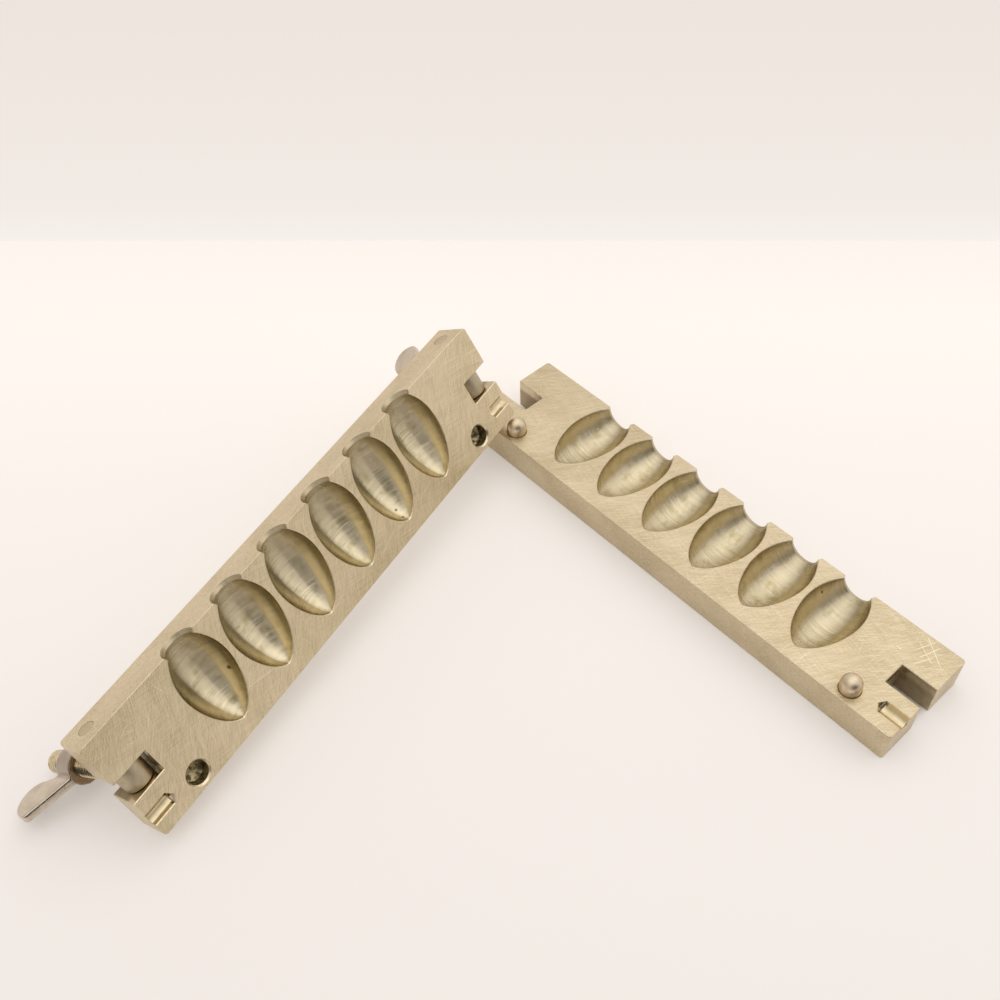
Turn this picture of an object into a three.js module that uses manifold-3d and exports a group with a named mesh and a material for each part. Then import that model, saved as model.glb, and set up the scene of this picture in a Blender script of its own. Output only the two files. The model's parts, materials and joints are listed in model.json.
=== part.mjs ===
// Suppository mould in two halves, lying open. Millimetres, +Z up, the flat half's back on Z = 0.
// Each half is drawn in its own frame: X along its length from the middle, Y from the tip edge to
// the pour edge, and the joint face on Z = 0. "left" is the end where the two halves touch.
import * as THREE from 'three';
import { mergeVertices } from 'three/addons/utils/BufferGeometryUtils.js';
import Module from 'manifold-3d';

const wasm = await Module();
wasm.setup();

// Clearances
const fitGap = 0.1;
const runGap = 0.15;
const overrun = 2;

// Torpedo cavities, tips towards the tip edge
const cavityCount = 6;
const cavityRadius = 7.75;
const cavityWall = 1.75;
const tipWall = 4.5;
const noseLength = 15.5;
const shoulderLength = 10.4;
const neckRadius = 4.25;
const mouthRadius = 4.7;
const mouthDepth = 1.1;
const noseHandleShares = { tipRadius: 0.555, tipRise: 0.071, bellyDrop: 0.4 };
const shoulderHandleShares = { bellyRise: 0.433, neckRadius: 0.557, neckRise: 0.75 };

// Blocks, built round the cavities
const endLength = 23.25;
const backWall = 2.25;
const edgeBevel = 0.4;
const cornerRadius = 0.8;
const cavityPitch = 2 * cavityRadius + cavityWall;
const blockLength = cavityCount * cavityPitch + 2 * endLength;
const blockHeight = tipWall + noseLength + shoulderLength + mouthDepth;
const blockDepth = cavityRadius + backWall;

// Swing bolts: a flat round eye and a threaded shank
const shankRadius = 2.85;
const shankReach = 30.5;
const shankDome = 1;
const eyeRadius = 3.9;
const eyeWidth = 6.75;
const hangAngle = THREE.MathUtils.degToRad(10);

// Slot in each block end, where a bolt's eye hangs and its shank swings through
const hingeInset = 5.5;
const slotEndGap = 0.8;
const slotDepth = hingeInset + eyeRadius + slotEndGap;
const slotWidth = eyeWidth + 2 * runGap;

// Hinge pins, pressed in from the pour edge across the slot
const hingeRadius = 2;
const hingeGrip = 5.5;
const hingeBevel = 0.2;

// Guide pins in the flat half, and the holes that take them
const guideInset = 14.95;
const guideEdge = 4.33;
const guideRadius = 2.85;
const guideReach = 1.8;
const guideMouth = 0.45;
const guideSeatDepth = 7;
const guideHoleDepth = 5.2;

// Half-round drilled grooves in each end of the joint faces
const grooveEdge = 5.96;
const grooveRadius = 1.92;
const grooveLength = 6.5;
const drillHalfAngle = THREE.MathUtils.degToRad(59);

// Wing nuts: a boss and two thin ears with round lobes
const bossRadius = 4.75;
const bossTopRadius = 4.3;
const bossHeight = 6;
const earSpan = 16.4;
const earLobeRadius = 5.2;
const earRise = 7.5;
const earThickness = 2.3;
const earBevel = 0.4;
const earArcStart = THREE.MathUtils.degToRad(-12);
const earArcEnd = THREE.MathUtils.degToRad(165);
const nutStations = { left: 18.4, right: 18 };
const nutTurns = { left: THREE.MathUtils.degToRad(-22), right: 0 };

// How the second half leans: its lower back edge rests on the flat half's front edge
const restInset = 5.4;
const restReach = 3.6;
const restGap = 0.15;
const leanYaw = THREE.MathUtils.degToRad(-75.25);
const leanDroop = THREE.MathUtils.degToRad(3.6);
const leanBack = THREE.MathUtils.degToRad(29);

const sides = { left: -1, right: 1 };
const roundSteps = 24;
const curveSteps = 6;

const blockMetal = new THREE.MeshStandardMaterial({ color: 0xcabf9c, roughness: 0.35, metalness: 1 });
const pinMetal = new THREE.MeshStandardMaterial({ color: 0xb8ad94, roughness: 0.3, metalness: 1 });
const boltMetal = new THREE.MeshStandardMaterial({ color: 0xbcae86, roughness: 0.35, metalness: 1 });
const nutMetal = new THREE.MeshStandardMaterial({ color: 0xc8bcae, roughness: 0.3, metalness: 1 });

// A closed three.js geometry as a solid for cutting and joining
function toSolid(geometry) {
  const bare = geometry.clone();
  bare.deleteAttribute('normal');
  bare.deleteAttribute('uv');
  const merged = mergeVertices(bare);
  const corners = merged.index.array;
  const triangles = [];
  for (let i = 0; i < corners.length; i += 3) {
    const [a, b, c] = corners.slice(i, i + 3);
    if (a !== b && b !== c && c !== a) triangles.push(a, b, c);
  }
  const vertProperties = new Float32Array(merged.attributes.position.array);
  const triVerts = new Uint32Array(triangles);
  return new wasm.Manifold(new wasm.Mesh({ numProp: 3, vertProperties, triVerts }));
}

function toGeometry(solid) {
  const mesh = solid.getMesh();
  const geometry = new THREE.BufferGeometry();
  geometry.setAttribute('position', new THREE.BufferAttribute(mesh.vertProperties, 3));
  geometry.setIndex(new THREE.BufferAttribute(mesh.triVerts, 1));
  geometry.computeVertexNormals();
  return geometry;
}

// A solid turned about Y from [radius, height] points that run upwards
function turned(points) {
  return new THREE.LatheGeometry(points.map(([radius, height]) => new THREE.Vector2(radius, height)), roundSteps);
}

// A turned shape with its axis laid along Z instead of Y
function turnedAlongZ(points) {
  return turned(points).rotateX(Math.PI / 2);
}

// The outline of one cavity: nose curve, shoulder curve, then the flared mouth
function cavityOutline() {
  const belly = tipWall + noseLength;
  const neck = belly + shoulderLength;
  const nose = new THREE.CubicBezierCurve(
    new THREE.Vector2(0, tipWall),
    new THREE.Vector2(noseHandleShares.tipRadius * cavityRadius, tipWall + noseHandleShares.tipRise * noseLength),
    new THREE.Vector2(cavityRadius, belly - noseHandleShares.bellyDrop * noseLength),
    new THREE.Vector2(cavityRadius, belly),
  );
  const neckSwell = shoulderHandleShares.neckRadius * (cavityRadius - neckRadius);
  const shoulder = new THREE.CubicBezierCurve(
    new THREE.Vector2(cavityRadius, belly),
    new THREE.Vector2(cavityRadius, belly + shoulderHandleShares.bellyRise * shoulderLength),
    new THREE.Vector2(neckRadius + neckSwell, belly + shoulderHandleShares.neckRise * shoulderLength),
    new THREE.Vector2(neckRadius, neck),
  );
  const curves = [...nose.getPoints(curveSteps), ...shoulder.getPoints(curveSteps).slice(1)];
  const outline = curves.map((point) => [point.x, point.y]);
  outline.push([mouthRadius, blockHeight], [mouthRadius, blockHeight + overrun], [0, blockHeight + overrun]);
  return outline;
}

function cavities() {
  const one = toSolid(turned(cavityOutline()));
  const places = Array.from({ length: cavityCount }, (_, i) => (i - (cavityCount - 1) / 2) * cavityPitch);
  return places.map((x) => one.translate([x, 0, 0]));
}

// The slot that a bolt swings in, open at the block's end and through its depth
function endSlot(side) {
  const geometry = new THREE.BoxGeometry(slotDepth + overrun, slotWidth, 2 * (blockDepth + overrun));
  const x = side * (blockLength / 2 - slotDepth / 2 + overrun / 2);
  return toSolid(geometry.translate(x, blockHeight / 2, 0));
}

// A hole drilled lengthwise on the joint plane, so each half shows a half-round groove
function endGroove(side) {
  const point = grooveRadius / Math.tan(drillHalfAngle);
  const outline = [
    [0, -grooveLength - point],
    [grooveRadius, -grooveLength],
    [grooveRadius, overrun],
    [0, overrun],
  ];
  const drill = turned(outline).rotateZ(-side * Math.PI / 2);
  return toSolid(drill.translate(side * blockLength / 2, grooveEdge, 0));
}

// A block with bevelled edges; depthSide is -1 where the metal lies below the joint face
function plainBlock(depthSide) {
  const width = blockLength / 2 - edgeBevel;
  const low = edgeBevel;
  const high = blockHeight - edgeBevel;
  const r = cornerRadius;
  const shape = new THREE.Shape();
  shape.absarc(width - r, low + r, r, -Math.PI / 2, 0);
  shape.absarc(width - r, high - r, r, 0, Math.PI / 2);
  shape.absarc(-width + r, high - r, r, Math.PI / 2, Math.PI);
  shape.absarc(-width + r, low + r, r, Math.PI, 3 * Math.PI / 2);
  const geometry = new THREE.ExtrudeGeometry(shape, {
    depth: blockDepth - 2 * edgeBevel,
    bevelThickness: edgeBevel,
    bevelSize: edgeBevel,
    bevelSegments: 1,
    curveSegments: 3,
  });
  return toSolid(geometry.translate(0, 0, edgeBevel + Math.min(depthSide, 0) * blockDepth));
}

function halfBlock(depthSide, extraCuts) {
  const ends = Object.values(sides).flatMap((side) => [endSlot(side), endGroove(side), ...extraCuts(side)]);
  return [...cavities(), ...ends].reduce((block, cut) => block.subtract(cut), plainBlock(depthSide));
}

function guidePlace(side) {
  return [side * (blockLength / 2 - guideInset), guideEdge, 0];
}

// A blind bore with a countersunk mouth, for a guide pin to be pressed or slid into
function guideBore(side, depthSide, gap, depth) {
  const radius = guideRadius + gap;
  const rim = radius + guideMouth;
  const bore = [[0, -depth], [radius, -depth], [radius, -guideMouth]];
  const mouth = [[rim, 0], [rim, overrun], [0, overrun]];
  const form = turned([...bore, ...mouth]).rotateX(-depthSide * Math.PI / 2);
  return toSolid(form).translate(guidePlace(side));
}

function hingePlace(side) {
  return [side * (blockLength / 2 - hingeInset), 0, blockDepth / 2];
}

function hingePinFoot() {
  return (blockHeight - slotWidth) / 2 - hingeGrip;
}

function hingeHole(side) {
  const radius = hingeRadius + fitGap;
  const foot = hingePinFoot() - fitGap;
  const top = blockHeight + overrun;
  return toSolid(turned([[0, foot], [radius, foot], [radius, top], [0, top]])).translate(hingePlace(side));
}

function guidePin() {
  const dome = new THREE.EllipseCurve(0, guideReach, guideRadius, guideRadius, 0, Math.PI / 2);
  const foot = fitGap - guideSeatDepth;
  const outline = [[0, foot], [guideRadius, foot]];
  outline.push(...dome.getPoints(curveSteps).map((point) => [Math.max(point.x, 0), point.y]));
  return turnedAlongZ(outline);
}

function hingePin() {
  const foot = hingePinFoot();
  const rim = hingeRadius - hingeBevel;
  return turned([
    [0, foot],
    [rim, foot],
    [hingeRadius, foot + hingeBevel],
    [hingeRadius, blockHeight - hingeBevel],
    [rim, blockHeight],
    [0, blockHeight],
  ]);
}

// Eye on Y, shank up Z, drawn from the hinge pin's centre
function swingBolt() {
  const dome = new THREE.EllipseCurve(0, shankReach - shankDome, shankRadius, shankDome, 0, Math.PI / 2);
  const outline = [[0, 0], [shankRadius, 0]];
  outline.push(...dome.getPoints(curveSteps).map((point) => [Math.max(point.x, 0), point.y]));
  const shank = toSolid(turnedAlongZ(outline));
  const eye = toSolid(new THREE.CylinderGeometry(eyeRadius, eyeRadius, eyeWidth, roundSteps));
  const boreRadius = hingeRadius + runGap;
  const bore = toSolid(new THREE.CylinderGeometry(boreRadius, boreRadius, eyeWidth + overrun, roundSteps));
  return toGeometry(eye.add(shank).subtract(bore));
}

// One ear in the plane of the bolt's axis: X outwards from the axis, Y away from the seat
function ear() {
  const lobeX = earSpan - earLobeRadius;
  const root = bossTopRadius / 2;
  const shape = new THREE.Shape();
  shape.moveTo(root, 0);
  shape.lineTo(bossRadius, 0);
  shape.absarc(lobeX, earRise, earLobeRadius, earArcStart, earArcEnd);
  shape.lineTo(bossRadius, bossHeight);
  shape.lineTo(root, bossHeight);
  const geometry = new THREE.ExtrudeGeometry(shape, {
    depth: earThickness - 2 * earBevel,
    bevelThickness: earBevel,
    bevelSize: earBevel,
    bevelOffset: -earBevel,
    bevelSegments: 2,
    curveSegments: 10,
  });
  geometry.translate(0, 0, earBevel - earThickness / 2);
  return toSolid(geometry.rotateX(Math.PI / 2));
}

// Boss on Z with its seat on Z = 0
function wingNut() {
  const outline = [[0, 0], [bossRadius, 0], [bossTopRadius, bossHeight], [0, bossHeight]];
  const boss = toSolid(turnedAlongZ(outline));
  const boreRadius = shankRadius + runGap;
  const bore = toSolid(new THREE.CylinderGeometry(boreRadius, boreRadius, 2 * (bossHeight + overrun), roundSteps));
  const one = ear();
  return toGeometry(boss.add(one).add(one.rotate([0, 0, 180])).subtract(bore.rotate([90, 0, 0])));
}

function named(name, geometry, material) {
  const mesh = new THREE.Mesh(geometry, material);
  mesh.name = name;
  return mesh;
}

// The half that lies flat, with its two guide pins
function pinHalf() {
  const half = new THREE.Group();
  const cuts = (side) => [guideBore(side, -1, fitGap, guideSeatDepth)];
  half.add(named('pin_half_block', toGeometry(halfBlock(-1, cuts)), blockMetal));
  for (const [name, side] of Object.entries(sides)) {
    const pin = named(`guide_pin_${name}`, guidePin(), pinMetal);
    pin.position.set(...guidePlace(side));
    half.add(pin);
  }
  half.position.set(0, -blockHeight / 2, blockDepth);
  return half;
}

// A swing bolt with its wing nut, hung on a hinge pin
function boltAssembly(name, side) {
  const assembly = new THREE.Group();
  assembly.add(named(`swing_bolt_${name}`, swingBolt(), boltMetal));
  const nut = named(`wing_nut_${name}`, wingNut(), nutMetal);
  nut.position.z = nutStations[name];
  nut.rotation.z = nutTurns[name];
  assembly.add(nut);
  const [x, , z] = hingePlace(side);
  assembly.position.set(x, blockHeight / 2, z);
  assembly.rotation.y = hangAngle;
  return assembly;
}

// The half that leans on the first, with its hinge pins and swing bolts
function holeHalf() {
  const half = new THREE.Group();
  const cuts = (side) => [guideBore(side, 1, runGap, guideHoleDepth), hingeHole(side)];
  half.add(named('hole_half_block', toGeometry(halfBlock(1, cuts)), blockMetal));
  for (const [name, side] of Object.entries(sides)) {
    const pin = named(`hinge_pin_${name}`, hingePin(), pinMetal);
    pin.position.set(...hingePlace(side));
    half.add(pin);
    half.add(boltAssembly(name, side));
  }
  half.rotation.set(Math.PI / 2 + leanBack, leanDroop, leanYaw, 'ZYX');
  const touch = new THREE.Vector3(restReach - blockLength / 2, 0, blockDepth).applyEuler(half.rotation);
  half.position.set(restInset - blockLength / 2, -blockHeight / 2, blockDepth + restGap).sub(touch);
  return half;
}

const mould = new THREE.Group();
mould.add(pinHalf());
mould.add(holeHalf());

export default mould;
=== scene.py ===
import functools
import json
import math

import bmesh
import bpy
from mathutils import Matrix, Vector


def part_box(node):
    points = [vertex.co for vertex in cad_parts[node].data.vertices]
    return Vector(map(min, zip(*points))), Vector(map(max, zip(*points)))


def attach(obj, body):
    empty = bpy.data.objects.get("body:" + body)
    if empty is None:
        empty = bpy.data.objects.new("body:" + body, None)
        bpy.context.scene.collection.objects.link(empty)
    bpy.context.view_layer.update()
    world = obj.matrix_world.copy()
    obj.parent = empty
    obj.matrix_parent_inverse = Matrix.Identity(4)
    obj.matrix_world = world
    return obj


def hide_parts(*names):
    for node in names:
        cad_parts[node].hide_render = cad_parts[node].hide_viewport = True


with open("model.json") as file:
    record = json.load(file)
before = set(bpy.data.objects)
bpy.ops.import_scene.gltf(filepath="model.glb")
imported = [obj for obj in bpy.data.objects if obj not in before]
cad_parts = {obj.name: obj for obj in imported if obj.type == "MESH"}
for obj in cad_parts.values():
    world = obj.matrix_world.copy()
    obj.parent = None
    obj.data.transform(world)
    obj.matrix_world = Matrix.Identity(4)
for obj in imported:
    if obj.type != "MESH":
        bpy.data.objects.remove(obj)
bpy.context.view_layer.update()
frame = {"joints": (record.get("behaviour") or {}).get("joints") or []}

# Suppository mould in two halves. Each piece is drawn in millimetres in its own frame, then placed
# in the shared frame: a half has X along its length from the middle, Y from the tip edge to the
# pour edge, and its joint face on Z = 0.
MM = 0.001
joints = {joint["name"]: joint for joint in frame["joints"]}

# Sizes in millimetres
cavity_count = 6
cavity_radius = 7.75
cavity_wall = 1.75
tip_wall = 4.5
nose_length = 15.5
shoulder_length = 10.4
neck_radius = 4.25
mouth_radius = 4.7
mouth_depth = 1.1
end_length = 23.25
back_wall = 2.25
cavity_pitch = 2 * cavity_radius + cavity_wall
block_length = cavity_count * cavity_pitch + 2 * end_length
block_height = tip_wall + nose_length + shoulder_length + mouth_depth
block_depth = cavity_radius + back_wall
edge_round = 0.18
corner_round = 0.9
rim_bevel = 0.18
rim_overlap = 0.15
nose_handle_shares = {"tip_radius": 0.555, "tip_rise": 0.071, "belly_drop": 0.4}
shoulder_handle_shares = {"belly_rise": 0.433, "neck_radius": 0.557, "neck_rise": 0.75}

hinge_inset = 5.5
slot_depth = 10.2
slot_width = 7.05
hinge_radius = 2
hinge_grip = 5.5
hinge_hole_radius = 2.05
hinge_flush_gap = 0.01
hinge_ring_width = 0.06
hinge_ring_depth = 0.08

guide_inset = 14.95
guide_edge = 4.33
guide_radius = 2.85
guide_reach = 1.8
guide_seat_radius = 2.93
guide_hole_radius = 3
guide_seat_mouth = 0.12
guide_hole_mouth = 0.45
guide_seat_depth = 7
guide_hole_depth = 5.2
guide_foot_gap = 0.1
pin_chamfer = 0.2

groove_edge = 5.96
groove_radius = 1.92
groove_length = 6.5

shank_radius = 2.85
shank_reach = 30.5
shank_dome = 1
shank_relief = 0.1
point_length = 4
point_relief = 0.05
thread_pitch = 1
thread_depth = 0.55
thread_start = 9
thread_runout = (0.4, 1.1)
tooth_shares = ((False, 0), (False, 0.12), (True, 0.44), (True, 0.56), (False, 0.88), (False, 1))
eye_radius = 3.9
eye_width = 6.75
eye_round = 0.35
eye_bore_gap = 0.12

boss_radius = 4.75
boss_top_radius = 4.3
boss_height = 6
ear_span = 16.4
ear_lobe_radius = 5.2
ear_rise = 7.5
ear_thickness = 2.3
ear_arc = (-12, 165)
nut_turns = {"left": -22, "right": 0}
nut_stations = {"left": 18.4, "right": 18}
nut_bore_gap = 0.08
nut_grid = 0.24

overrun = 3
weld_distance = 0.0005
drill_half_angle = math.radians(59)
sides = {"left": -1, "right": 1}
fine_steps = 96
pin_steps = 80
mouth_steps = 72
bore_steps = 64
drill_steps = 48


# Modelling

def drop_selection():
    if bpy.context.object and bpy.context.object.mode != "OBJECT":
        bpy.ops.object.mode_set(mode="OBJECT")
    bpy.ops.object.select_all(action="DESELECT")


def pick(obj):
    drop_selection()
    obj.select_set(True)
    bpy.context.view_layer.objects.active = obj
    return obj


def select_edges(obj, wanted):
    """In edit mode, selects only the edges that the test wants."""
    bpy.ops.mesh.select_mode(type="EDGE")
    bpy.ops.mesh.select_all(action="DESELECT")
    mesh = bmesh.from_edit_mesh(obj.data)
    for edge in mesh.edges:
        edge.select_set(wanted(edge))
    mesh.select_flush_mode()
    bmesh.update_edit_mesh(obj.data)


def drawn_line(name, points):
    """A line of vertices, drawn by extruding one vertex from point to point."""
    drop_selection()
    bpy.ops.mesh.primitive_plane_add(size=1)
    obj = bpy.context.object
    obj.name = name
    bpy.ops.object.mode_set(mode="EDIT")
    bpy.ops.mesh.select_mode(type="VERT")
    bpy.ops.mesh.select_all(action="SELECT")
    bpy.ops.mesh.merge(type="CENTER")
    bpy.ops.transform.translate(value=points[0])
    for start, end in zip(points, points[1:]):
        step = Vector(end) - Vector(start)
        bpy.ops.mesh.extrude_region_move(TRANSFORM_OT_translate={"value": step})
    bpy.ops.mesh.select_all(action="SELECT")
    return obj


def tidy_shell():
    bpy.ops.mesh.select_all(action="SELECT")
    bpy.ops.mesh.remove_doubles(threshold=weld_distance)
    bpy.ops.mesh.normals_make_consistent(inside=False)
    bpy.ops.object.mode_set(mode="OBJECT")


def turned(name, outline, steps=fine_steps):
    """A solid spun about Z from (radius, height) points, with no seam on the X and Y planes."""
    obj = drawn_line(name, [(radius, 0, height) for radius, height in outline])
    bpy.ops.mesh.spin(steps=steps, angle=math.tau, center=(0, 0, 0), axis=(0, 0, 1))
    tidy_shell()
    return moved(obj, Matrix.Rotation(math.pi / steps, 4, "Z"))


def plate(name, outline, thickness):
    """An outline of (x, z) points, filled and extruded along Y, half to each side."""
    obj = drawn_line(name, [(x, -thickness / 2, z) for x, z in outline])
    bpy.ops.mesh.edge_face_add()
    bpy.ops.mesh.extrude_region_move(TRANSFORM_OT_translate={"value": (0, thickness, 0)})
    tidy_shell()
    return obj


def brick(name, low, high):
    drop_selection()
    size = Vector(high) - Vector(low)
    middle = (Vector(high) + Vector(low)) / 2
    bpy.ops.mesh.primitive_cube_add(size=1, location=middle, scale=size)
    bpy.context.object.name = name
    bpy.ops.object.transform_apply(location=True, rotation=True, scale=True)
    return bpy.context.object


def moved(obj, matrix):
    """Puts a turn, size and place into the mesh, so that the object stays at the origin."""
    obj.data.transform(matrix)
    obj.data.update()
    return obj


def copied(obj, matrix):
    twin = obj.copy()
    twin.data = obj.data.copy()
    bpy.context.scene.collection.objects.link(twin)
    return moved(twin, matrix)


def joined(objects):
    drop_selection()
    for obj in objects:
        obj.select_set(True)
    bpy.context.view_layer.objects.active = objects[0]
    bpy.ops.object.join()
    return objects[0]


def in_a_row(obj):
    """One cutter per cavity, all in one mesh."""
    places = [(i - (cavity_count - 1) / 2) * cavity_pitch for i in range(cavity_count)]
    row = [copied(obj, Matrix.Translation((x, 0, 0))) for x in places]
    bpy.data.objects.remove(obj)
    return joined(row)


def apply_modifier(obj, kind, **settings):
    pick(obj)
    modifier = obj.modifiers.new(kind.lower(), kind)
    for key, value in settings.items():
        setattr(modifier, key, value)
    bpy.ops.object.modifier_apply(modifier=modifier.name)
    return obj


def combine(obj, other, operation, overlapping=False):
    """Cuts or joins two solids and removes the second, which may be several overlapping ones."""
    apply_modifier(obj, "BOOLEAN", operation=operation, object=other, solver="EXACT",
                   material_mode="TRANSFER", use_self=overlapping)
    bpy.data.objects.remove(other)
    return obj


def painted(obj, material):
    obj.data.materials.clear()
    obj.data.materials.append(material)
    return obj


def smooth(obj, degrees=32):
    pick(obj)
    bpy.ops.object.shade_smooth_by_angle(angle=math.radians(degrees))
    return obj


def finish_piece(obj, place, name, body, node):
    """Brings a finished piece from its own millimetres into the shared frame."""
    moved(obj, place @ Matrix.Scale(MM, 4))
    obj.name = name
    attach(obj, body)
    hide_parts(node)


def bezier(start, first, second, end, steps):
    points = []
    for i in range(steps + 1):
        t = i / steps
        weights = ((1 - t) ** 3, 3 * t * (1 - t) ** 2, 3 * t * t * (1 - t), t ** 3)
        spots = (start, first, second, end)
        points.append(tuple(sum(w * spot[k] for w, spot in zip(weights, spots)) for k in (0, 1)))
    return points


# Frames of the pieces

def axes_matrix(x, y, z, place):
    return Matrix.Translation(place) @ Matrix((x, y, z)).transposed().to_4x4()


def lying_place():
    low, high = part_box("pin_half_block")
    return Matrix.Translation(((low.x + high.x) / 2, low.y, high.z))


def leaning_place():
    """From the two swing bolts' hinges: X along the half, Y up the hinge axes, Z into its metal."""
    left = Vector(joints["swing_bolt_left_swing"]["pos_m"])
    right = Vector(joints["swing_bolt_right_swing"]["pos_m"])
    along = (right - left).normalized()
    depth = along.cross(Vector(joints["swing_bolt_left_swing"]["axis"])).normalized()
    height = depth.cross(along)
    middle = (left + right) / 2
    corner = middle - height * block_height / 2 * MM - depth * block_depth / 2 * MM
    return axes_matrix(along, height, depth, corner)


def bolt_place(name):
    """Origin in the eye, Y along the hinge pin and Z down the shank."""
    hinge = joints[f"swing_bolt_{name}_swing"]
    shank = Vector(joints[f"wing_nut_{name}_spin"]["axis"]).normalized()
    hinge_axis = Vector(hinge["axis"]).normalized()
    across = hinge_axis.cross(shank).normalized()
    return axes_matrix(across, shank.cross(across), shank, Vector(hinge["pos_m"]))


def nut_place(name):
    """Origin on the nut's seat, Z along the bolt."""
    seat = Matrix.Translation((0, 0, nut_stations[name] * MM))
    return bolt_place(name) @ seat @ Matrix.Rotation(math.radians(nut_turns[name]), 4, "Z")


# Materials

class Value:
    """A socket in a node tree, written in sums like a number."""

    def __init__(self, nodes, socket):
        self.nodes = nodes
        self.socket = socket

    def maths(self, operation, *terms):
        return self.nodes.node("Math", {"operation": operation}, dict(enumerate(terms)))

    def __add__(self, other):
        return self.maths("ADD", self, other)

    def __radd__(self, other):
        return self.maths("ADD", other, self)

    def __sub__(self, other):
        return self.maths("SUBTRACT", self, other)

    def __rsub__(self, other):
        return self.maths("SUBTRACT", other, self)

    def __mul__(self, other):
        return self.maths("MULTIPLY", self, other)

    def __truediv__(self, other):
        return self.maths("DIVIDE", self, other)

    def __abs__(self):
        return self.maths("ABSOLUTE", self)

    def least(self, other):
        return self.maths("MINIMUM", self, other)

    def most(self, other):
        return self.maths("MAXIMUM", self, other)

    def between(self, low, high):
        """0 below low, 1 above high, with a smooth rise."""
        settings = {"interpolation_type": "SMOOTHSTEP"}
        return self.nodes.node("MapRange", settings, {"Value": self, "From Min": low, "From Max": high})


class Nodes:
    """The node tree of a material or of the world."""

    def __init__(self, owner):
        owner.use_nodes = True
        self.tree = owner.node_tree

    def node(self, kind, settings=None, values=None, output=0):
        made = self.tree.nodes.new("ShaderNode" + kind)
        for key, value in (settings or {}).items():
            if key == "stops":
                self.fill_ramp(made.color_ramp, value)
            else:
                setattr(made, key, value)
        for key, value in (values or {}).items():
            self.feed(made.inputs[key], value)
        return Value(self, made.outputs[output])

    def fill_ramp(self, ramp, stops):
        while len(ramp.elements) < len(stops):
            ramp.elements.new(1)
        for element, (position, colour) in zip(ramp.elements, stops):
            element.position = position
            element.color = (*colour, 1)

    def feed(self, socket, value):
        if isinstance(value, Value):
            self.tree.links.new(value.socket, socket)
        elif isinstance(value, tuple) and len(value) == 3 and socket.type == "RGBA":
            socket.default_value = (*value, 1)
        else:
            socket.default_value = value

    def mix(self, amount, first, second):
        settings = {"data_type": "RGBA", "blend_type": "MIX", "clamp_factor": True}
        return self.node("Mix", settings, {0: amount, 6: first, 7: second}, output=2)

    def vector(self, operation, *terms):
        return self.node("VectorMath", {"operation": operation}, dict(enumerate(terms)))

    def along(self, vector, axis):
        """How far a vector reaches along an axis."""
        return self.node("VectorMath", {"operation": "DOT_PRODUCT"}, {0: vector, 1: axis}, output="Value")

    def grouped(self, x, y, z):
        return self.node("CombineXYZ", {}, {0: x, 1: y, 2: z})


class Finish(Nodes):
    """A metal finish whose patterns are in millimetres in the piece's own frame."""

    def __init__(self, name, place):
        self.material = bpy.data.materials.new(name)
        super().__init__(self.material)
        self.shader = self.tree.nodes["Principled BSDF"]
        here = self.node("TexCoord", output="Object")
        location, turn, _ = place.decompose()
        self.turn = turn.to_matrix()
        settings = {"vector_type": "TEXTURE"}
        values = {"Vector": here, "Location": location, "Rotation": turn.to_euler(), "Scale": (MM, MM, MM)}
        self.spot = self.node("Mapping", settings, values)
        parts = [self.node("SeparateXYZ", {}, {0: self.spot}, output=i) for i in range(3)]
        self.x, self.y, self.z = parts

    def noise(self, stretch, detail=2, turn=0, shift=0):
        """Noise whose grains are stretch millimetres long, wide and deep, turned about Z."""
        settings = {"vector_type": "TEXTURE"}
        values = {"Vector": self.spot, "Location": (shift, shift, shift),
                  "Rotation": (0, 0, math.radians(turn)), "Scale": stretch}
        grains = self.node("Mapping", settings, values)
        return self.node("TexNoise", {}, {"Vector": grains, "Scale": 1, "Detail": detail})

    def scratches(self, turn, length, low, shift):
        """1 along straight, thin scratches of about that length, more of them where low is lower."""
        return self.noise((length, scratch_width, scratch_width), 0, turn, shift).between(low, low + 0.1)

    def near(self, place, radius, soft):
        """1 inside a ball of that radius round a point of the piece."""
        far = self.node("VectorMath", {"operation": "DISTANCE"}, {0: self.spot, 1: place}, output="Value")
        return 1 - far.between(radius, radius + soft)

    def line(self, start, end, width):
        """1 along a scratch on the joint face from start to end, tapering out at its ends."""
        along = Vector(end) - Vector(start)
        length = along.length
        along /= length
        dx = self.x - start[0]
        dy = self.y - start[1]
        run = dx * along.x + dy * along.y
        off = abs(dx * along.y - dy * along.x)
        inside = run.between(0, length * 0.15) * (1 - run.between(length * 0.75, length))
        return (1 - off.between(width * 0.3, width)) * inside

    def tilted(self, axis, amount):
        """The surface's normal, tilted along an axis of the piece by a varying amount."""
        settings = {"convert_from": "OBJECT", "convert_to": "WORLD", "vector_type": "NORMAL"}
        here = self.node("VectorTransform", settings, {"Vector": self.turn @ Vector(axis)})
        tilt = self.vector("MULTIPLY", here, self.grouped(amount, amount, amount))
        normal = self.node("NewGeometry", output="Normal")
        return self.vector("NORMALIZE", self.vector("ADD", normal, tilt))

    def set(self, colour, roughness, bump, depth, normal=None):
        self.feed(self.shader.inputs["Base Color"], colour)
        self.feed(self.shader.inputs["Roughness"], roughness)
        self.shader.inputs["Metallic"].default_value = 1
        relief = {"Height": bump, "Strength": 1, "Distance": depth}
        if normal:
            relief["Normal"] = normal
        self.feed(self.shader.inputs["Normal"], self.node("Bump", {}, relief))
        return self.material


def strongest(values):
    """The greatest of several values at each point."""
    return functools.reduce(Value.most, values)


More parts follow.
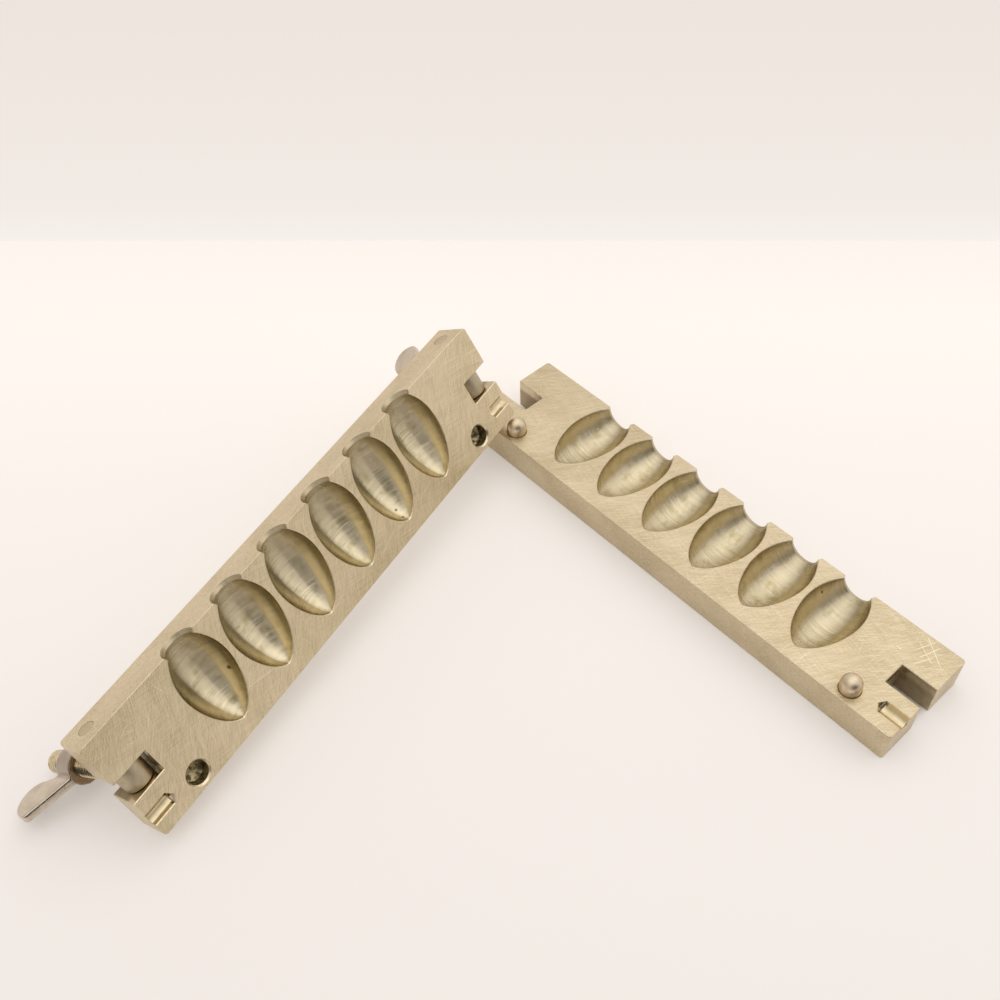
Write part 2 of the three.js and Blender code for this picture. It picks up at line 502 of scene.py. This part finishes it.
# Colours, each pair from pale to deep
# Both halves are one metal: the leaning half's pair is painted lighter than the lying half's, painted light
# for how each half meets the light.
block_metals_with_painted_light = {"lying": ((0.615, 0.513, 0.343), (0.535, 0.437, 0.277)),
                "leaning": ((0.75, 0.625, 0.42), (0.65, 0.535, 0.335))}
pale_metal, deep_metal = block_metals_with_painted_light["lying"]
bored_metal = (0.64, 0.56, 0.392)
drilled_metal = (0.5, 0.44, 0.25)
worn_metal = (0.72, 0.62, 0.44)
pin_metals = ((0.72, 0.61, 0.45), (0.6, 0.49, 0.34))
bolt_metals = ((0.68, 0.57, 0.385), (0.5, 0.4, 0.245))
eye_metal = (0.43, 0.365, 0.26)
nut_metals = ((0.66, 0.575, 0.47), (0.57, 0.485, 0.385))
# Painted shade for the wing nuts' bosses.
boss_painted_shade = (0.2, 0.15, 0.12)
pit_shade = (0.3, 0.24, 0.2)
olive_tarnish = (0.40, 0.33, 0.14)
brown_stain = (0.13, 0.08, 0.045)
# Painted shade for the deep parts of slots and grooves.
deep_painted_shade = (0.27, 0.22, 0.15)
# Pale scratch metal, its paleness partly painted glint.
bright_scratch_and_glint = (0.86, 0.765, 0.575)
# Dark scratch metal, also used as painted shade at the cavities' mouths.
dark_scratch_and_shade = (0.38, 0.30, 0.185)

# Marks of the abrasive paper: (length, width, turn, shift), and (turn, length, low, shift)
grain_layers = ((8, 0.28, 44, 0), (6, 0.26, 63, 5), (9, 0.3, -14, 9))
bright_layers = ((52, 14, 0.65, 0), (22, 16, 0.67, 4), (-41, 12, 0.69, 8), (86, 15, 0.67, 13),
                 (64, 17, 0.65, 19), (-70, 12, 0.68, 23), (38, 12, 0.65, 29))
dark_layers = ((44, 13, 0.65, 31), (-24, 14, 0.68, 37), (70, 15, 0.65, 47))
scratch_width = 0.2
mouth_soft = 0.4


def ground_finish(name, place, metals, sense, wear, long_scratches, spots):
    """The blocks' outer faces, rubbed on abrasive paper; a sense of -1 mirrors its directions."""
    f = Finish(name, place)
    grain = sum(f.noise((length, width, width), 0, sense * turn, shift)
                for length, width, turn, shift in grain_layers)
    bright, dark = (strongest(f.scratches(sense * turn, *rest) for turn, *rest in layers)
                    for layers in (bright_layers, dark_layers))
    lines = strongest(f.line(*scratch) for scratch in long_scratches)
    cloud = f.noise((14, 11, 9), 3, 20, 2)
    colour = f.mix(cloud.between(0.35, 0.7), *metals)
    colour = f.mix((1 - grain.between(1.05, 1.5)) * 0.3 * wear, colour, dark_scratch_and_shade)
    # Bright grain, scratches and long lines: real scratches whose paleness is partly painted glint.
    colour = f.mix(grain.between(1.5, 1.95) * 0.38 * wear, colour, bright_scratch_and_glint)
    colour = f.mix(dark * 0.3 * wear, colour, dark_scratch_and_shade)
    colour = f.mix((bright * 0.34 * wear).most(lines * 0.8), colour, bright_scratch_and_glint)
    for place_mm, radius in spots:
        colour = f.mix(f.near(place_mm, radius, radius) * 0.8, colour, brown_stain)
    roughness = 0.33 + grain * 0.04 + cloud * 0.05 - bright * 0.1
    return f.set(colour, roughness, grain - bright + dark, 0.000009)


def turned_finish(name, place, spots):
    """The cavities, bored with a form tool that left fine rings, stained by use, and darkened at the mouth
    step as painted shade.
    """
    f = Finish(name, place)
    rings = f.noise((30, 0.018, 30), 0)
    coarse = f.noise((30, 0.3, 30), 2, 0, 6)
    neck = f.y.between(tip_wall + 0.6 * nose_length, block_height - mouth_depth)
    mouth = f.y.between(block_height - mouth_depth - mouth_soft, block_height - mouth_depth)
    stain = f.noise((3, 4, 3), 4, 0, 3).between(0.5, 0.75)
    colour = f.mix(stain * 0.6, bored_metal, olive_tarnish)
    colour = f.mix(coarse.between(0.4, 0.7) * neck * 0.35, colour, deep_metal)
    # Painted shade darkening the band just inside the mouth step.
    colour = f.mix(mouth * 0.5, colour, dark_scratch_and_shade)
    for place_mm, radius in spots:
        colour = f.mix(f.near(place_mm, radius, radius * 0.6) * 0.85, colour, brown_stain)
    roughness = 0.1 + neck * 0.15 + stain * 0.06
    tilt = (rings - 0.5) * (2.2 + neck * 0.4) + (coarse - 0.5) * (0.03 + neck * 0.15)
    return f.set(colour, roughness, coarse, 0.000002, f.tilted((0, 1, 0), tilt))


def milled_finish(name, place):
    """Slots and grooves, smooth from the cutter, with random olive patches, and darker and duller deeper in
    as painted shade.
    """
    f = Finish(name, place)
    dirt = f.noise((1.6, 1.6, 1.6), 3, 0, 7).between(0.42, 0.68)
    depth = abs(f.z).between(1.9, 4)
    colour = f.mix(dirt * 0.3, pale_metal, olive_tarnish)
    # Painted shade: darker the further into the metal.
    colour = f.mix(depth * (0.4 + dirt * 0.1), colour, deep_painted_shade)
    return f.set(colour, 0.18 + depth * 0.42, dirt, 0.000003)


def drilled_finish(name, place):
    """Bores, rough from the drill and dark with old grease."""
    f = Finish(name, place)
    grease = f.noise((1.1, 1.1, 1.1), 3, 0, 5).between(0.4, 0.6)
    colour = f.mix(grease * 0.85, drilled_metal, brown_stain)
    marks = f.noise((3, 3, 0.2), 2)
    return f.set(colour, 0.4 + grease * 0.2, marks, 0.00002)


def worn_finish(name, place):
    """Rims and edges, burnished where the halves rub and are handled."""
    f = Finish(name, place)
    nicks = f.noise((0.8, 0.8, 0.8), 3)
    colour = f.mix(nicks.between(0.4, 0.62) * 0.7, worn_metal, deep_metal)
    return f.set(colour, 0.24 + nicks * 0.15, nicks, 0.00003)


def pin_finish(name, place):
    """Turned metal, dulled by handling."""
    f = Finish(name, place)
    rings = f.noise((5, 5, 0.12), 2)
    cloud = f.noise((1.8, 1.8, 1.8), 3)
    colour = f.mix(cloud.between(0.35, 0.7), *pin_metals)
    return f.set(colour, 0.34 + cloud * 0.08, rings, 0.000004)


def hinge_finish(name, place):
    """The hinge pins' flush ends, rubbed with the block."""
    f = Finish(name, place)
    grain = f.noise((4, 0.14, 0.14), 2, 34)
    cloud = f.noise((3, 3, 3), 3)
    colour = f.mix(cloud.between(0.35, 0.7), pale_metal, deep_metal)
    return f.set(colour, 0.36 + grain * 0.1, grain, 0.00003)


def bolt_finish(name, place):
    """Dull turned metal with darker patches, and duller still on the eye."""
    f = Finish(name, place)
    dirt = f.noise((1.2, 1.2, 0.9), 4)
    colour = f.mix(dirt.between(0.4, 0.72), *bolt_metals)
    eye = 1 - f.z.between(3, 5)
    colour = f.mix(eye * 0.75, colour, eye_metal)
    marks = f.noise((0.25, 2.5, 2.5), 2)
    return f.set(colour, 0.15 + dirt * 0.16 + eye * 0.16, marks, 0.000008)


def nut_finish(name, place):
    """Nickel-plated casting, tumbled smooth, with small pits, and painted shade darkening the boss."""
    f = Finish(name, place)
    pits = f.noise((0.7, 0.7, 0.7), 3, 0, 4).between(0.62, 0.74)
    cloud = f.noise((4, 4, 4), 3)
    colour = f.mix(cloud.between(0.35, 0.7), *nut_metals)
    off_axis = f.node("VectorMath", {"operation": "LENGTH"}, {0: f.grouped(f.x, f.y, 0)}, output="Value")
    # Painted shade: the boss near the bolt is darkened.
    colour = f.mix((1 - off_axis.between(4.3, 5.8)) * 0.55, colour, boss_painted_shade)
    colour = f.mix(pits * 0.4, colour, pit_shade)
    waves = f.noise((1.6, 1.6, 1.6), 1, 0, 6)
    return f.set(colour, 0.2 + cloud * 0.08 + pits * 0.15, waves - pits * 0.5, 0.00004)


# The two blocks

def cavity_outline():
    belly = tip_wall + nose_length
    neck = belly + shoulder_length
    shares = nose_handle_shares
    tip = (shares["tip_radius"] * cavity_radius, tip_wall + shares["tip_rise"] * nose_length)
    swell = (cavity_radius, belly - shares["belly_drop"] * nose_length)
    nose = bezier((0, tip_wall), tip, swell, (cavity_radius, belly), 22)
    shares = shoulder_handle_shares
    swell = (cavity_radius, belly + shares["belly_rise"] * shoulder_length)
    waist = (neck_radius + shares["neck_radius"] * (cavity_radius - neck_radius),
             belly + shares["neck_rise"] * shoulder_length)
    shoulder = bezier((cavity_radius, belly), swell, waist, (neck_radius, neck), 14)
    mouth = [(mouth_radius, block_height - rim_bevel),
             (mouth_radius + rim_bevel + overrun, block_height + overrun)]
    return nose + shoulder[1:] + mouth


def laid_along_y(obj):
    return moved(obj, Matrix.Rotation(-math.pi / 2, 4, "X"))


def ring(name, points, height):
    """A closed line of edges at one height."""
    obj = drawn_line(name, [(x, y, height) for x, y in [*points, points[0]]])
    bpy.ops.mesh.remove_doubles(threshold=weld_distance)
    bpy.ops.object.mode_set(mode="OBJECT")
    return obj


def widened(points, distance):
    """An anticlockwise outline moved outwards, with its corners kept sharp."""
    wide = []
    for before, here, after in zip([points[-1], *points], points, [*points[1:], points[0]]):
        first, second = Vector(here) - Vector(before), Vector(after) - Vector(here)
        out = [Vector((step.y, -step.x)).normalized() for step in (first, second)]
        wide.append(Vector(here) + (out[0] + out[1]) * distance / (1 + out[0].dot(out[1])))
    return wide


def rim_tool(name, points, place):
    """Bevels the edge of an opening with that outline: the face on XY, the metal above it."""
    inner = ring(name, widened(points, -rim_overlap), rim_bevel + rim_overlap)
    outer = ring(name, widened(points, rim_bevel + rim_overlap), -rim_overlap)
    tool = moved(joined([inner, outer]), place)
    bpy.ops.object.mode_set(mode="EDIT")
    bpy.ops.mesh.select_mode(type="EDGE")
    bpy.ops.mesh.select_all(action="SELECT")
    bpy.ops.mesh.bridge_edge_loops()
    bpy.ops.mesh.select_all(action="SELECT")
    bpy.ops.mesh.fill_holes(sides=0)
    tidy_shell()
    return tool


def both_sides(outline):
    """The outline of a turned cut where the joint plane passes through its axis."""
    return [(x, y) for x, y in outline] + [(-x, y) for x, y in reversed(outline) if x > 0]


def rise(edge):
    return abs(edge.verts[0].co.z - edge.verts[1].co.z)


def rounded_block(depth_side):
    """A bar with rounded corners and edges; depth_side is -1 where the metal is below the joint face."""
    low_z, high_z = sorted((0, depth_side * block_depth))
    half_length = block_length / 2
    bar = brick("bar", (-half_length, 0, low_z), (half_length, block_height, high_z))
    bpy.ops.object.mode_set(mode="EDIT")
    select_edges(bar, lambda edge: rise(edge) > corner_round)
    bpy.ops.mesh.bevel(offset=corner_round, segments=5, affect="EDGES")
    select_edges(bar, lambda edge: rise(edge) < weld_distance)
    bpy.ops.mesh.bevel(offset=edge_round, segments=3, affect="EDGES")
    bpy.ops.object.mode_set(mode="OBJECT")
    return bar


def face_places(depth_side):
    """The joint face and the back face, each with Z into the metal."""
    into = Matrix.Diagonal((1, 1, depth_side, 1))
    back = Matrix.Translation((0, 0, depth_side * block_depth)) @ Matrix.Diagonal((1, 1, -depth_side, 1))
    return into, back


def slot_limits(side):
    """The low and high corner of an end slot, seen on the joint face."""
    low_y = (block_height - slot_width) / 2
    low_x, high_x = sorted((side * (block_length / 2 - slot_depth), side * (block_length / 2 + overrun)))
    return low_x, low_y, high_x, low_y + slot_width


def end_slot(side):
    low_x, low_y, high_x, high_y = slot_limits(side)
    deep = block_depth + overrun
    return brick("slot", (low_x, low_y, -deep), (high_x, high_y, deep))


def slot_rims(side, depth_side):
    low_x, low_y, high_x, high_y = slot_limits(side)
    corners = [(low_x, low_y), (high_x, low_y), (high_x, high_y), (low_x, high_y)]
    rims = [rim_tool("slot_rim", corners, place) for place in face_places(depth_side)]
    deep = block_depth + overrun
    corners = [(-deep, low_y), (deep, low_y), (deep, high_y), (-deep, high_y)]
    end = Matrix(((0, 0, -side, side * block_length / 2), (0, 1, 0, 0), (1, 0, 0, 0), (0, 0, 0, 1)))
    return [*rims, rim_tool("slot_rim", corners, end)]


def groove_outline():
    point = groove_radius / math.tan(drill_half_angle)
    return [(0, -groove_length - point), (groove_radius, -groove_length), (groove_radius, -rim_bevel),
            (groove_radius + rim_bevel + overrun, overrun)]


def end_groove(side):
    drill = turned("drill", [*groove_outline(), (0, overrun)], drill_steps)
    place = Matrix.Translation((side * block_length / 2, groove_edge, 0))
    return moved(drill, place @ Matrix.Rotation(side * math.pi / 2, 4, "Y"))


def groove_rim(side, depth_side):
    flat = Matrix(((0, side, 0, side * block_length / 2), (1, 0, 0, groove_edge), (0, 0, 1, 0), (0, 0, 0, 1)))
    return rim_tool("groove_rim", both_sides(groove_outline()), face_places(depth_side)[0] @ flat)


def guide_spot(side):
    return Vector((side * (block_length / 2 - guide_inset), guide_edge, 0))


def guide_sizes(depth_side):
    """Radius, depth and mouth of a guide pin's seat, or of the hole that takes it."""
    if depth_side < 0:
        return guide_seat_radius, guide_seat_depth, guide_seat_mouth
    return guide_hole_radius, guide_hole_depth, guide_hole_mouth


def guide_bore(side, depth_side):
    """A drilled blind bore for a guide pin."""
    radius, depth, _ = guide_sizes(depth_side)
    point = radius / math.tan(drill_half_angle)
    outline = [(0, depth), (radius, depth - point), (radius, -overrun), (0, -overrun)]
    bore = turned("bore", [(x, z * depth_side) for x, z in outline], bore_steps)
    return moved(bore, Matrix.Translation(guide_spot(side)))


def countersink(side, depth_side):
    radius, _, mouth = guide_sizes(depth_side)
    tip = radius + mouth
    outline = [(0, tip), (tip + overrun, -overrun), (0, -overrun)]
    cone = turned("countersink", [(x, z * depth_side) for x, z in outline], mouth_steps)
    return moved(cone, Matrix.Translation(guide_spot(side)))


def hinge_foot():
    return (block_height - slot_width) / 2 - hinge_grip


def hinge_spot(side):
    return Vector((side * (block_length / 2 - hinge_inset), 0, block_depth / 2))


def hinge_hole(side):
    foot = hinge_foot()
    top = block_height + overrun
    outline = [(0, foot), (hinge_hole_radius, foot), (hinge_hole_radius, top), (0, top)]
    hole = laid_along_y(turned("hinge_hole", outline, drill_steps))
    return moved(hole, Matrix.Translation(hinge_spot(side)))


def half_block(depth_side, place, name, wear, scratches, spots):
    ground = ground_finish(f"{name}_ground_metal", place, block_metals_with_painted_light[name], -depth_side, wear,
                           scratches, spots["face"])
    bored = turned_finish(f"{name}_bored_metal", place, spots["cavity"])
    milled = milled_finish(f"{name}_milled_metal", place)
    drilled = drilled_finish(f"{name}_drilled_metal", place)
    worn = worn_finish(f"{name}_worn_edge", place)
    block = painted(rounded_block(depth_side), ground)
    outline = cavity_outline()
    form_tool = laid_along_y(turned("form_tool", [*outline, (0, block_height + overrun)]))
    cavity_rim = rim_tool("cavity_rim", both_sides(outline), face_places(depth_side)[0])
    tools = [painted(in_a_row(form_tool), bored), painted(in_a_row(cavity_rim), worn)]
    for side in sides.values():
        tools += [painted(tool, milled) for tool in (end_slot(side), end_groove(side))]
        tools.append(painted(guide_bore(side, depth_side), drilled))
        if depth_side > 0:
            tools.append(painted(hinge_hole(side), drilled))
        rims = [countersink(side, depth_side), groove_rim(side, depth_side), *slot_rims(side, depth_side)]
        tools += [painted(tool, worn) for tool in rims]
    combine(block, joined(tools), "DIFFERENCE", overlapping=True)
    smooth(block, 40)
    apply_modifier(block, "WEIGHTED_NORMAL", keep_sharp=True, weight=100)
    return block


def make_lying_half():
    """Scratches run from point to point with a width; spots have a place and a radius."""
    place = lying_place()
    scratches = [((63.82, 31), (72.47, 24.72), 0.16), ((63.5, 28.03), (70.63, 24.03), 0.14),
                 ((64.38, 25.05), (67.08, 31.84), 0.15), ((66.26, 23.62), (68.78, 31.04), 0.2),
                 ((66.28, 21.07), (69.13, 27.1), 0.18), ((60.28, 22.85), (62.18, 22.7), 0.2)]
    spots = {"face": [((-30, 28, 0), 0.2)], "cavity": [((36.59, 24.61, -2.91), 0.3)]}
    block = half_block(-1, place, "lying", 0.8, scratches, spots)
    finish_piece(block, place, "lying_half_block", "pin_half", "pin_half_block")
    for name, side in sides.items():
        pin_place = place @ Matrix.Translation(guide_spot(side) * MM)
        finish_piece(guide_pin(pin_place), pin_place, f"guide_pin_{name}_turned", "pin_half",
                     f"guide_pin_{name}")


def make_leaning_half():
    place = leaning_place()
    scratches = [((38.25, 9.13), (29.59, 6.86), 0.2), ((-57.5, 19.04), (-51.05, 14.36), 0.16),
                 ((53.82, 29.2), (52.79, 24.75), 0.15), ((67.1, 25.93), (63.18, 27.45), 0.15),
                 ((66.35, 26.06), (63.03, 25.1), 0.14), ((10.42, 3.45), (2.04, 5.81), 0.14),
                 ((-11.19, 3.43), (-20.44, 6.27), 0.14), ((-31.75, 5.9), (-38.86, 7.5), 0.14)]
    spots = {"face": [((8, 27, 0), 0.2)],
             "cavity": [((36.93, 14.94, 3.47), 0.42), ((27.23, 17.88, 7.51), 0.14),
                        ((-25.92, 7.37, 3.74), 0.28), ((-25.37, 5.43, 1.79), 0.26)]}
    block = half_block(1, place, "leaning", 1, scratches, spots)
    finish_piece(block, place, "leaning_half_block", "hole_half", "hole_half_block")
    for name, side in sides.items():
        pin_place = place @ Matrix.Translation(hinge_spot(side) * MM)
        finish_piece(hinge_pin(pin_place), pin_place, f"hinge_pin_{name}_turned", "hole_half",
                     f"hinge_pin_{name}")
        finish_piece(swing_bolt(bolt_place(name)), bolt_place(name), f"swing_bolt_{name}_threaded",
                     f"bolt_{name}", f"swing_bolt_{name}")
        finish_piece(wing_nut(nut_place(name)), nut_place(name), f"wing_nut_{name}_cast",
                     f"nut_{name}", f"wing_nut_{name}")


# Pins, bolts and nuts

def arc(centre, radius, start, end, steps):
    """Points on a circle, from one angle to another in degrees."""
    angles = [math.radians(start + (end - start) * i / steps) for i in range(steps + 1)]
    return [(centre[0] + radius * math.cos(a), centre[1] + radius * math.sin(a)) for a in angles]


def guide_pin(place):
    foot = guide_foot_gap - guide_seat_depth
    outline = [(0, foot), (guide_radius - pin_chamfer, foot), (guide_radius, foot + pin_chamfer)]
    outline += [(max(x, 0), z) for x, z in arc((0, guide_reach), guide_radius, 0, 90, 18)]
    pin = painted(turned("guide_pin", outline, pin_steps), pin_finish("guide_pin_steel", place))
    return smooth(pin, 24)


def hinge_pin(place):
    """Pressed in flush, then ground with the block, so that only a thin ring shows."""
    foot = hinge_foot()
    top = block_height - hinge_flush_gap
    outline = [(0, foot), (hinge_radius - pin_chamfer, foot), (hinge_radius, foot + pin_chamfer),
               (hinge_radius, block_height - hinge_ring_depth),
               (hinge_radius - hinge_ring_width, top), (0, top)]
    pin = laid_along_y(turned("hinge_pin", outline, bore_steps))
    return smooth(painted(pin, hinge_finish("hinge_pin_brass", place)), 30)


def threaded_rod():
    """A rod with a true helical thread, longer than the bolt at both ends."""
    root = shank_radius - thread_depth
    tooth = [(shank_radius if crest else root, 0, share * thread_pitch) for crest, share in tooth_shares]
    rod = drawn_line("thread", tooth)
    bpy.ops.object.mode_set(mode="OBJECT")
    spare_turns = 3
    turns = math.ceil((shank_reach - thread_start) / thread_pitch) + spare_turns
    apply_modifier(rod, "SCREW", axis="Z", screw_offset=thread_pitch, iterations=turns, steps=40,
                   render_steps=40, use_merge_vertices=True, merge_threshold=0.001)
    moved(rod, Matrix.Translation((0, 0, thread_start - thread_pitch)))
    pick(rod)
    bpy.ops.object.mode_set(mode="EDIT")
    half_turn = thread_pitch / 2
    for height, clear_above in ((thread_start + half_turn, False), (shank_reach + half_turn, True)):
        bpy.ops.mesh.select_all(action="SELECT")
        bpy.ops.mesh.bisect(plane_co=(0, 0, height), plane_no=(0, 0, 1), use_fill=True,
                            clear_outer=clear_above, clear_inner=not clear_above)
    tidy_shell()
    return rod


def swing_bolt(place):
    metal = bolt_finish("swing_bolt_brass", place)
    top = shank_reach - shank_dome
    dome = [(max(x, 0), top + (z - top) * shank_dome / shank_radius)
            for x, z in arc((0, top), shank_radius, 0, 90, 10)]
    envelope = turned("shank", [(0, thread_start), (shank_radius, thread_start)] + dome)
    shank = combine(threaded_rod(), envelope, "INTERSECT")
    root = shank_radius - thread_depth
    start = shank_reach - point_length
    cap = [(max(x - point_relief, 0), z) for x, z in dome[:-1]] + [(0, shank_reach)]
    point = turned("point", [(0, start - thread_depth), (root, start - thread_depth),
                             (shank_radius - point_relief, start), *cap])
    full, runout = (thread_start + length for length in thread_runout)
    plain = turned("plain", [(0, 0), (shank_radius - shank_relief, 0), (shank_radius - shank_relief, full),
                             (root, runout), (0, runout)])
    half = eye_width / 2
    rim = eye_radius - eye_round
    corner = arc((rim, half - eye_round), eye_round, 0, 90, 4)
    outline = [(0, -half)] + [(x, -z) for x, z in reversed(corner)] + corner + [(0, half)]
    eye = laid_along_y(turned("eye", outline))
    bore_radius = hinge_radius + eye_bore_gap
    bore = laid_along_y(turned("bore", [(0, -overrun - half), (bore_radius, -overrun - half),
                                        (bore_radius, overrun + half), (0, overrun + half)], bore_steps))
    for part in (plain, point, eye):
        combine(shank, part, "UNION")
    bolt = combine(shank, bore, "DIFFERENCE")
    return smooth(painted(bolt, metal), 32)


def ear():
    """One ear in the XZ plane, X outwards from the bolt's axis and Z away from the seat."""
    lobe = (ear_span - ear_lobe_radius, ear_rise)
    root = boss_top_radius / 2
    outline = [(root, 0), (boss_radius, 0)] + arc(lobe, ear_lobe_radius, *ear_arc, 40)
    outline += [(boss_radius, boss_height), (root, boss_height)]
    return plate("ear", outline, ear_thickness)


def wing_nut(place):
    boss = turned("boss", [(0, 0), (boss_radius, 0), (boss_top_radius, boss_height), (0, boss_height)])
    for turn in (0, math.pi):
        combine(boss, moved(ear(), Matrix.Rotation(turn, 4, "Z")), "UNION")
    apply_modifier(boss, "REMESH", mode="VOXEL", voxel_size=nut_grid)
    apply_modifier(boss, "SMOOTH", factor=0.5, iterations=8)
    bore_radius = shank_radius + nut_bore_gap
    bore = turned("bore", [(0, -overrun), (bore_radius, -overrun), (bore_radius, boss_height + overrun),
                           (0, boss_height + overrun)], bore_steps)
    combine(boss, bore, "DIFFERENCE")
    return smooth(painted(boss, nut_finish("wing_nut_nickel", place)), 40)


# Stage, light and camera

camera_spot = Vector((116.763, -169.749, 258.053)) * MM
camera_right = Vector((0.67145, 0.74059, -0.02597))
camera_up = Vector((-0.55354, 0.52454, 0.64688))
camera_lens = 41.718

floor_size = 8
floor_gap = 0.00003
floor_tint = (1.05, 1, 0.97)
floor_shade = 0.635
# Painted light in the floor's colour: darker towards the camera, paler near the backdrop.
floor_painted_falloff = (-0.3, 0.34, 0)
floor_painted_falloff_limits = (-0.12, 0.05)
floor_painted_lift = 0.06
floor_painted_lift_reach = 0.13
# A painted glow that lightens the floor's shadows, nearly none under the lying half as painted shadow there.
floor_painted_fill_glow = (0.295, 0.28, 0.265)
painted_shadow_glow_under_lying_half = (0.03, 0.028, 0.026)
cover_ends = (0.072, 0.0755)
cover_edges = (0.012, 0.0165)
backdrop_width = 4
backdrop_height = 0.097
backdrop_foot = Vector((-141, 55, 0)) * MM
backdrop_facing = Vector((0.718, -0.696, 0)).normalized()
backdrop_stops = [(0, (0.93, 0.88, 0.845)), (0.15, (0.895, 0.835, 0.785)), (1, (0.84, 0.775, 0.72))]

# The room's light: its level, what each axis adds over a range of heights, and the dark shape
light_strength = 1.08
light_tint = (1.03, 1, 0.965)
room_level = 0.62
room_axes = (((0.192, 0.181, 0.965), (0.16, 1.66), 1.43), ((0.834, -0.262, 0.502), (0.387, 1.887), -1.4))
dark_level = 0.04
dark_facing = (0.924, -0.404, 0)
dark_across = (-0.42, -0.898, 0)
dark_sides = (0.4, 0.53)
dark_top = (1, 1.14)


def make_camera():
    data = bpy.data.cameras.new("photo_camera")
    data.lens = camera_lens
    data.sensor_width = 36
    data.clip_start = 0.01
    camera = bpy.data.objects.new("photo_camera", data)
    bpy.context.scene.collection.objects.link(camera)
    camera.matrix_world = axes_matrix(camera_right, camera_up, camera_right.cross(camera_up), camera_spot)
    bpy.context.scene.camera = camera


def floor_paper():
    """A pale sheet with a painted glow that lightens shadows but not under the lying half, and a painted
    falloff.
    """
    material = bpy.data.materials.new("floor_paper")
    n = Nodes(material)
    shader = n.tree.nodes["Principled BSDF"]
    spot = n.node("TexCoord", output="Object")
    from_backdrop = n.along(spot, backdrop_facing) - backdrop_foot.dot(backdrop_facing)
    # Painted light: paler by the backdrop and darker towards the camera.
    painted_lift = (1 - from_backdrop.between(0, floor_painted_lift_reach)) * floor_painted_lift
    low, high = floor_painted_falloff_limits
    shade = n.along(spot, floor_painted_falloff).least(high).most(low) + floor_shade + painted_lift
    n.feed(shader.inputs["Base Color"], n.grouped(*(shade * part for part in floor_tint)))
    past_ends = abs(n.along(spot, (1, 0, 0))).between(*cover_ends)
    past_edges = abs(n.along(spot, (0, 1, 0))).between(*cover_edges)
    # Painted glow lightening shadows, dimmed under the lying half as painted shadow.
    glow = n.mix(past_ends.most(past_edges), painted_shadow_glow_under_lying_half, floor_painted_fill_glow)
    n.feed(shader.inputs["Emission Color"], glow)
    shader.inputs["Emission Strength"].default_value = 1
    shader.inputs["Roughness"].default_value = 0.9
    shader.inputs["Specular IOR Level"].default_value = 0
    return material


def backdrop_paper():
    """An evenly lit pale sheet, a little darker upwards, whose back can't be seen."""
    material = bpy.data.materials.new("backdrop_paper")
    n = Nodes(material)
    n.tree.nodes.remove(n.tree.nodes["Principled BSDF"])
    height = n.node("SeparateXYZ", {}, {0: n.node("TexCoord", output="Object")}, output="Y")
    colour = n.node("ValToRGB", {"stops": backdrop_stops}, {0: height / backdrop_height})
    glow = n.node("Emission", {}, {"Color": colour})
    clear = n.node("BsdfTransparent")
    back = n.node("NewGeometry", output="Backfacing")
    sheet = n.node("MixShader", {}, {0: back, 1: glow, 2: clear})
    n.feed(n.tree.nodes["Material Output"].inputs["Surface"], sheet)
    return material


def plane_from_foot(name, width, height):
    """An upright sheet drawn in XY, its lower edge along X."""
    drop_selection()
    bpy.ops.mesh.primitive_plane_add(size=1)
    sheet = bpy.context.object
    sheet.name = name
    return moved(sheet, Matrix.Translation((0, height / 2, 0)) @ Matrix.Diagonal((width, height, 1, 1)))


def make_stage():
    drop_selection()
    bpy.ops.mesh.primitive_plane_add(size=floor_size, location=(0, 0, -floor_gap))
    floor = bpy.context.object
    floor.name = "paper_floor"
    painted(floor, floor_paper())
    wall = plane_from_foot("paper_backdrop", backdrop_width, backdrop_height)
    up = Vector((0, 0, 1))
    wall.matrix_world = axes_matrix(up.cross(backdrop_facing), up, backdrop_facing, backdrop_foot)
    painted(wall, backdrop_paper())


def make_light():
    """A pale room, brightest overhead and duller towards +X, with a dark shape beside the camera."""
    world = bpy.data.worlds.new("studio")
    bpy.context.scene.world = world
    n = Nodes(world)
    way = n.node("TexCoord", output="Generated")
    light = room_level + sum(n.along(way, axis).between(*reach) * gain for axis, reach, gain in room_axes)
    front = n.along(way, dark_facing).most(0.001)
    aside = abs(n.along(way, dark_across)) / front
    above = n.along(way, (0, 0, 1)) / front
    shape = (1 - aside.between(*dark_sides)) * (1 - above.between(*dark_top))
    light = (light + (dark_level - light) * shape) * light_strength
    colour = n.grouped(*(light * part for part in light_tint))
    n.feed(n.tree.nodes["Background"].inputs["Color"], colour)


make_camera()
make_lying_half()
make_leaning_half()
make_stage()
make_light()
bpy.context.scene.view_settings.view_transform = "Standard"
